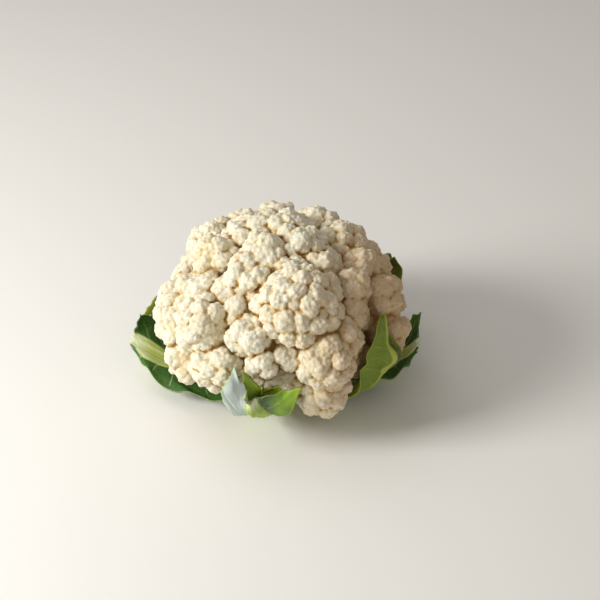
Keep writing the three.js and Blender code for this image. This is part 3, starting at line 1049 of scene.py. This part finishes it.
def nibbled(u, s, seed):
    """Rows and columns of the coarse net for the fine points, once the leaf's end and edges are nibbled in."""
    end = bites(np.stack([s * END_BITES, u * 0, u * 0], axis=-1), seed)
    edge = bites(np.stack([u * EDGE_BITES, np.sign(s), u * 0], axis=-1), seed)
    in_from_end = END_DEPTH * end * u**6
    in_from_edge = EDGE_DEPTH * edge * np.abs(s) ** 5 * smooth_step(u, 0.1, 0.4)
    return u * ROWS * (1 - in_from_end), COLUMNS / 2 * (1 + s * (1 - in_from_edge))


print("a bite at the origin is", round(float(bites(np.zeros((1, 3)), 0)[0]), 2), "deep")

# %% Rib, veins and ripples
FINE_ROWS, FINE_COLUMNS = ((80, 48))
BLADE = 1.1
MARGIN = 0.55  # the blade's thickness at its margin
VEIN_GAP = 12.5
VEIN_SLANT, VEIN_CURVE = 0.85, 160  # a side vein climbs away from the rib, and less so further out
VEIN_STAGGER = 5.5  # the right side's veins start this much further up
VEIN_RISE, VEIN_RISE_INSIDE = 0.55, 0.25
RIDGE_RISE, RIDGE_GAP = 0.22, 2.6  # the fine ridges along the rib
PUCKER = 0.3
RIPPLE, RIPPLES = 1.5, 4  # half the height of the margin's ripples, and their count


def step_lengths(net, axis):
    """How far each point lies from the first one along its row or column."""
    steps = np.linalg.norm(np.diff(net, axis=axis), axis=2)
    first = np.zeros_like(np.take(steps, [0], axis=axis))
    return np.concatenate([first, np.cumsum(steps, axis=axis)], axis=axis)


def shape_leaf(leaf, seed):
    """Both faces of a leaf, and what its material reads at each corner."""
    net = coarse_net(leaf)
    u = np.linspace(0, 1, FINE_ROWS + 1)[:, None] * np.ones((1, FINE_COLUMNS + 1))
    s = np.ones((FINE_ROWS + 1, 1)) * np.linspace(-1, 1, FINE_COLUMNS + 1)[None]
    inner = sampled(net, *nibbled(u, s, seed))

    normal = unit(np.cross(np.gradient(inner, axis=1), np.gradient(inner, axis=0)))
    lengths = step_lengths(inner, 1)
    middle = FINE_COLUMNS // 2
    from_rib = lengths - lengths[:, middle : middle + 1]
    up_rib = np.ones_like(u) * step_lengths(inner, 0)[:, middle : middle + 1]
    to_margin = np.minimum(lengths, lengths[:, -1:] - lengths)

    base_thick, base_wide, end_thick, end_wide = leaf["rib_size"]
    wide = (base_wide + (end_wide - base_wide) * np.sqrt(u)) / 2
    thick = base_thick + (end_thick - base_thick) * np.sqrt(u)
    rib = np.maximum(0, 1 - (from_rib / (wide * 1.6)) ** 2) ** 1.5
    blade = MARGIN + (BLADE - MARGIN) * smooth_step(to_margin, 0, 5)

    side = np.abs(from_rib)
    other_side = np.where(from_rib < 0, 0, VEIN_STAGGER)
    vein_path = (up_rib - VEIN_SLANT * side + side**2 / VEIN_CURVE + other_side) / VEIN_GAP
    vein_path = vein_path + 0.12 * wander(inner, 12, seed)
    from_vein = np.abs(vein_path - np.round(vein_path)) * VEIN_GAP
    vein = (1 - smooth_step(from_vein, 0.3, 1.9)) * (1 - rib) * smooth_step(to_margin, 0, 9)
    ridges = RIDGE_RISE * rib * np.cos(from_rib * 2 * math.pi / RIDGE_GAP + 3 * wander(inner, 8, seed + 7))
    pucker = PUCKER * (1 + wander(inner, 6, seed + 3)) * (1 - rib)
    channel = 0.16 * thick * np.maximum(0, 1 - (from_rib / wide) ** 2) * smooth_step(u, 0.1, 0.5)
    half_width = np.where(s < 0, -from_rib[:, :1], from_rib[:, -1:])
    foot = 1 - smooth_step(half_width / wide, 1.3, 2.2)
    ripple = leaf.get("ripple", RIPPLE) * np.abs(s) ** 2.5 * smooth_step(u, 0.15, 0.5)
    phase = 2 * math.pi * (RIPPLES * u + 0.3 * np.sign(s)) + 3 * wander(inner, 20, seed + 5)
    ripple = ripple * (1 + np.sin(phase))
    lift = pucker + ripple

    outer = inner + normal * (blade + thick * rib + VEIN_RISE * vein + ridges + lift)[..., None]
    inner = inner + normal * (channel + VEIN_RISE_INSIDE * vein + lift)[..., None]
    facts = {
        "rib": np.maximum(rib, foot),
        "from_rib": from_rib,
        "vein_path": vein_path,
        "to_margin": to_margin,
        "up_leaf": u,
        "across_leaf": s,
    }
    return inner, outer, facts


# %% Close a sheet into a solid leaf


def sheet_faces(rows, columns):
    """Four-sided faces of a sheet with two sides, closed round its four edges."""
    wide = columns + 1
    below = (rows + 1) * wide
    a = (np.arange(rows)[:, None] * wide + np.arange(columns)[None]).ravel()
    j = np.arange(columns)
    end = rows * wide + j
    i = np.arange(rows) * wide
    far = i + columns
    return np.concatenate(
        [
            np.stack([a, a + wide, a + wide + 1, a + 1], 1),
            np.stack([a, a + 1, a + wide + 1, a + wide], 1) + below,
            np.stack([j, j + 1, below + j + 1, below + j], 1),
            np.stack([end, below + end, below + end + 1, end + 1], 1),
            np.stack([i, below + i, below + i + wide, i + wide], 1),
            np.stack([far, far + wide, below + far + wide, below + far], 1),
        ]
    )


leaf_quads = sheet_faces(FINE_ROWS, FINE_COLUMNS)
print("a leaf has", len(leaf_quads), "faces")

# %% [markdown]
# ## Leaf finishes
#
# A cauliflower leaf has a wax bloom on a dark green blade. The inner leaves get less light and are yellow-
# green, and ribs and veins are paler than the blade, near white in the stout ones. A rib that the knife cut
# shows a moist cream end. Four finishes would be four copies of one tree of nodes, so one function makes
# them all from their colours. Each leaf's two wings may differ, as those of the front leaf do.

# %% Leaf material
BLOOM = "CBD8D6"
CUT_END = "E3EAC4"
CELL_WIDTH = 3.125  # the net of fine veins
BLOTCH_WIDTH = 22.2
MOTTLE_WIDTH = 3.85
LEAF_FACTS = ("rib", "from_rib", "vein_path", "to_margin", "up_leaf", "across_leaf", "outer_face")


def leaf_finish(name, colours, bloom, rim_width, cut_from=None):
    """A leaf's material. A stout rib turns to a cut end at cut_from of its length. A slim one has none."""
    material, tree = new_material(name)
    on_leaf = add_node(tree, "ShaderNodeTexCoord").outputs["Object"]
    read = {}
    for fact in LEAF_FACTS:
        read[fact] = add_node(tree, "ShaderNodeAttribute", attribute_name=fact).outputs["Fac"]
    rib, up_leaf, across, to_margin = (read[f] for f in ("rib", "up_leaf", "across_leaf", "to_margin"))

    blotches = {"Vector": on_leaf, "Scale": scale_for(BLOTCH_WIDTH), "Detail": 4.0}
    slow = add_node(tree, "ShaderNodeTexNoise", blotches).outputs["Fac"]
    mottle = {"Vector": on_leaf, "Scale": scale_for(MOTTLE_WIDTH), "Detail": 3.0}
    fine = add_node(tree, "ShaderNodeTexNoise", mottle).outputs["Fac"]
    net = {"Vector": on_leaf, "Scale": scale_for(CELL_WIDTH)}
    from_net = add_node(tree, "ShaderNodeTexVoronoi", net, feature="DISTANCE_TO_EDGE").outputs["Distance"]
    # The vein path counts up by one from each side vein to the next.
    path = {0: read["vein_path"], 1: 0.5}
    from_vein = add_node(tree, "ShaderNodeMath", path, operation="PINGPONG").outputs[0]

    # The blade: its two faces, the bright young tip, the wax, blotches, the net, the side veins and the rim.
    wings = painted(tree, colours["left_wing"], colours["right_wing"], (across, -0.25, 0.25, 0, 1))
    blade = painted(tree, colours["inside"], wings, (read["outer_face"], 0, 1, 0, 1))
    young = ((up_leaf, 0.66, 0.95, 0, 1), (across, 0.5, 0.85, 0, 1), (slow, 0.25, 0.6, 0.5, 1))
    blade = painted(tree, blade, colours["tip"], *young)
    waxy = ((read["outer_face"], 0, 1, 0, bloom), (across, -0.15, 0.2, 1, 0.08), (fine, 0.3, 0.8, 0, 1))
    blade = painted(tree, blade, BLOOM, *waxy)
    blade = painted(tree, blade, colours["tip"], (slow, 0.42, 0.75, 0, 0.2))
    blade = painted(tree, blade, colours["veins"], (from_net, 0, 0.12, 0.06, 0))
    on_vein = ((from_vein, 0.015, 0.06, 1, 0), (to_margin, 1, 8, 0, 1), (slow, 0.35, 0.65, 0.08, 0.42))
    blade = painted(tree, blade, colours["veins"], *on_vein)
    blade = painted(tree, blade, colours["rim"], (to_margin, 0.1, rim_width, 0.45, 0))

    # The rib is streaked along its length: noise about 1.5 mm wide across it and 45 mm long.
    across_rib = add_node(tree, "ShaderNodeMath", {0: read["from_rib"], 1: 0.65}, operation="MULTIPLY")
    along_rib = add_node(tree, "ShaderNodeMath", {0: up_leaf, 1: 2.0}, operation="MULTIPLY")
    rib_place = {"X": across_rib.outputs[0], "Y": along_rib.outputs[0]}
    rib_place = add_node(tree, "ShaderNodeCombineXYZ", rib_place).outputs[0]
    streaks = add_node(tree, "ShaderNodeTexNoise", {"Vector": rib_place, "Scale": 1.0, "Detail": 3.0})
    flesh = painted(tree, colours["rib"], colours["veins"], (streaks.outputs["Fac"], 0.38, 0.64, 0, 0.6))
    rib_edge = (0.5, 0.95)
    if cut_from:
        rib_edge = (0.02, 0.25)
        flesh = painted(tree, flesh, CUT_END, (up_leaf, cut_from, 0.98, 0, 0.9), (rib, 0.1, 0.4, 0, 1))
    colour = painted(tree, blade, flesh, (rib, *rib_edge, 0, 1))

    # The net's lines are sunk a little, and the mottling stands up.
    sunk_spans = {"Value": from_net, "From Max": 0.12, "To Min": -0.3, "To Max": 0.0}
    sunk = add_node(tree, "ShaderNodeMapRange", sunk_spans, interpolation_type="SMOOTHSTEP").outputs[0]
    height = add_node(tree, "ShaderNodeMath", {0: fine, 1: 0.8, 2: sunk}, operation="MULTIPLY_ADD")
    bump_sockets = {"Height": height.outputs[0], "Strength": 0.5, "Distance": 0.5 * MM}
    bump = add_node(tree, "ShaderNodeBump", bump_sockets)
    rough_spans = {"Value": slow, "From Min": 0.3, "From Max": 0.7, "To Min": 0.4, "To Max": 0.56}
    rough = add_node(tree, "ShaderNodeMapRange", rough_spans, interpolation_type="SMOOTHSTEP")
    shader = add_node(
        tree,
        "ShaderNodeBsdfPrincipled",
        {
            "Base Color": colour,
            "Normal": bump.outputs["Normal"],
            "Roughness": rough.outputs[0],
            "IOR": 1.42,
            "Subsurface Weight": 0.1,
            "Subsurface Radius": (0.5, 1.0, 0.2),
            "Subsurface Scale": 1.2 * MM,
        },
    )
    add_node(tree, "ShaderNodeOutputMaterial", {"Surface": shader.outputs[0]})
    print(name, "has", len(tree.nodes), "nodes")
    return material


# Outer leaves have a dark blade with little wax.
OUTER = {
    "inside": "33601A",
    "left_wing": "3C6420",
    "right_wing": "31551D",
    "rib": "BACD50",
    "veins": "E8EDC6",
    "tip": "4B7B1E",
    "rim": "A9BF7A",
}
outer_finish = leaf_finish("outer_leaf_blade", OUTER, bloom=0.2, rim_width=0.8, cut_from=0.76)

# The leaf at the right stands up against the curd: young, thin and yellow-green, with a slim rib.
# Its right wing, away from the key lamp, is painted dark olive as shade.
INNER = {
    "inside": "8E9F38",
    "left_wing": "71890C",
    # painted shade: the right wing is dark olive
    "right_wing": "454B08",
    "rib": "AFBC48",
    "veins": "B4C158",
    "tip": "8A9A1C",
    "rim": "B4C158",
}
inner_finish = leaf_finish("inner_leaf_blade", INNER, bloom=0.05, rim_width=1.0)

# The front leaf: a glaucous left wing thick with wax, and a dark right wing with a bright young tip and rim.
WAXY = {
    "inside": "8DA250",
    "left_wing": "CBD8D8",
    "right_wing": "264522",
    "rib": "97B82C",
    "veins": "C9DA84",
    "tip": "9AC41F",
    "rim": "B9D04A",
}
waxy_finish = leaf_finish("waxy_leaf_blade", WAXY, bloom=0.5, rim_width=2.6, cut_from=0.9)

# Leaves that grew in the head's shade are olive.
SHADED = {
    "inside": "66731F",
    "left_wing": "55672A",
    "right_wing": "55672A",
    "rib": "96A048",
    "veins": "A6B062",
    "tip": "6B7A22",
    "rim": "A6B062",
}
olive_finish = leaf_finish("shaded_leaf_blade", SHADED, bloom=0.1, rim_width=1.0)
FINISHES = {
    "leaf_left": ("outer_leaf", outer_finish),
    "leaf_front": ("inner_leaf", waxy_finish),
    "leaf_front_inner": ("outer_leaf", inner_finish),
    "leaf_right_front": ("inner_leaf", inner_finish),
    "leaf_right": ("outer_leaf", outer_finish),
    "leaf_back_right": ("outer_leaf", olive_finish),
    "leaf_back": ("outer_leaf", outer_finish),
    "leaf_back_left": ("inner_leaf", inner_finish),
}

# %% Build the leaves
GROUND_GAP = 0.6  # the least height of a leaf's outer face above the table
INSIDE_GAP = GROUND_GAP + 0.4  # and of its inner face
for seed, (name, leaf) in enumerate(LEAVES.items()):
    inner, outer, facts = shape_leaf(leaf, seed)
    both = np.concatenate([inner.reshape(-1, 3), outer.reshape(-1, 3)])
    both = bent(both - [0, 0, RIM_HEIGHT]) + [0, 0, RIM_HEIGHT]
    both[:, 2] = np.maximum(both[:, 2], np.repeat([INSIDE_GAP, GROUND_GAP], len(both) // 2))
    mesh = mesh_of(name + "_blade", both, leaf_quads)
    for key, values in facts.items():
        set_values(mesh, key, np.tile(values.ravel(), 2))
    set_values(mesh, "outer_face", np.repeat([0, 1], len(both) // 2))
    beside = np.stack([facts["across_leaf"], facts["up_leaf"] * 2], axis=-1).reshape(-1, 2)
    flat_map(mesh, np.concatenate([beside, beside + [2.1, 0]]))
    slot, finish = FINISHES[name]
    add_piece(name + "_blade", mesh, name, finish)
    print(name, "spans", np.ptp(both, axis=0).round(0), "mm")

# %% [markdown]
# ## Stem
#
# The stem is what the knife left: a stalk a little wider at the top, with the scars of the leaves that were
# pulled off. It could be a cylinder with rings cut in it, but the scars run into each other. So it is
# turned as a profile round the axis, then dented by noise so that it isn't a machine's work.

# %% Turn the stem
STEM_PROFILE = [
    (0, 0),
    (6, 0),
    (12, 0),
    (16.5, 0),
    (18.4, 0.1),
    (19, 0.9),
    (19.2, 2.8),
    (19.2, 4.6),
    (18.2, 5.4),
    (19.0, 7.4),
    (20.0, 9.6),
    (19.1, 10.8),
    (20.2, 14.5),
    (21.5, 18),
    (22.4, 20.6),
    (21.4, 22.2),
    (11, 21.5),
    (0, 20.7),
]
SIDES = 96
turn = np.linspace(0, 2 * math.pi, SIDES, endpoint=False)
rings = []
for radius, z in STEM_PROFILE:
    ring = np.stack([radius * np.cos(turn), radius * np.sin(turn), np.full(SIDES, float(z))], axis=1)
    dent = wander(ring, 9, 5) * 0.45 + wander(ring, 3, 6) * 0.15
    if radius > 15 and 0.5 < z < 20:
        ring[:, :2] *= (1 + (dent - 0.25) / radius)[:, None]
    rings.append(ring)
stem_corners = np.concatenate(rings)
here = np.arange(SIDES)
beside = (here + 1) % SIDES
bands = []
for first in range(0, len(stem_corners) - SIDES, SIDES):
    above = first + SIDES
    bands.append(np.stack([first + here, first + beside, above + beside, above + here], 1))
stem_mesh = mesh_of("stem_stalk", stem_corners, np.concatenate(bands))
weld = bmesh.new()
weld.from_mesh(stem_mesh)
bmesh.ops.remove_doubles(weld, verts=weld.verts, dist=0.01 * MM)
bmesh.ops.recalc_face_normals(weld, faces=weld.faces)
weld.to_mesh(stem_mesh)
weld.free()
print("stem stands", STEM_PROFILE[-3][1], "mm high")

# %% Stalk material
# Cauliflower stalk: fibrous green-white skin, and a cut face with a woody ring round a wet pith.
STALK_REACH = 22.5  # the skin's distance from the axis
FIBRE_WIDTH = 2
stalk_flesh, tree = new_material("cut_stalk")
where = add_node(tree, "ShaderNodeTexCoord").outputs["Object"]
apart = add_node(tree, "ShaderNodeSeparateXYZ", {0: where})
flat = add_node(tree, "ShaderNodeCombineXYZ", {"X": apart.outputs["X"], "Y": apart.outputs["Y"]})
from_axis = add_node(tree, "ShaderNodeVectorMath", {0: flat.outputs[0]}, operation="LENGTH")
share_spans = {"Value": from_axis.outputs["Value"], "From Max": STALK_REACH * MM}
share = add_node(tree, "ShaderNodeMapRange", share_spans)
pith_to_skin = [
    (0, "F0EDCF"),
    (0.5, "E9EBC4"),
    (0.6, "C6D49A"),
    (0.66, "E4E8C0"),
    (0.78, "DDE5B0"),
    (0.86, "C9D78F"),
    (1, "BBCB7C"),
]
rings_seen = add_node(tree, "ShaderNodeValToRGB", {"Fac": share.outputs[0]}, pith_to_skin)
fibres = {"Vector": where, "Scale": scale_for(FIBRE_WIDTH), "Detail": 4.0}
fibre = add_node(tree, "ShaderNodeTexNoise", fibres)
bump_sockets = {"Height": fibre.outputs["Fac"], "Strength": 0.5, "Distance": 0.6 * MM}
bump = add_node(tree, "ShaderNodeBump", bump_sockets)
shader = add_node(
    tree,
    "ShaderNodeBsdfPrincipled",
    {
        "Base Color": rings_seen.outputs["Color"],
        "Normal": bump.outputs["Normal"],
        "Roughness": 0.45,
        "IOR": 1.38,
        "Subsurface Weight": 0.15,
        "Subsurface Radius": (1.0, 0.8, 0.4),
        "Subsurface Scale": 1.5 * MM,
    },
)
add_node(tree, "ShaderNodeOutputMaterial", {"Surface": shader.outputs[0]})
add_piece("stem_stalk", stem_mesh, "stem", stalk_flesh)
print("stalk material has", len(tree.nodes), "nodes")
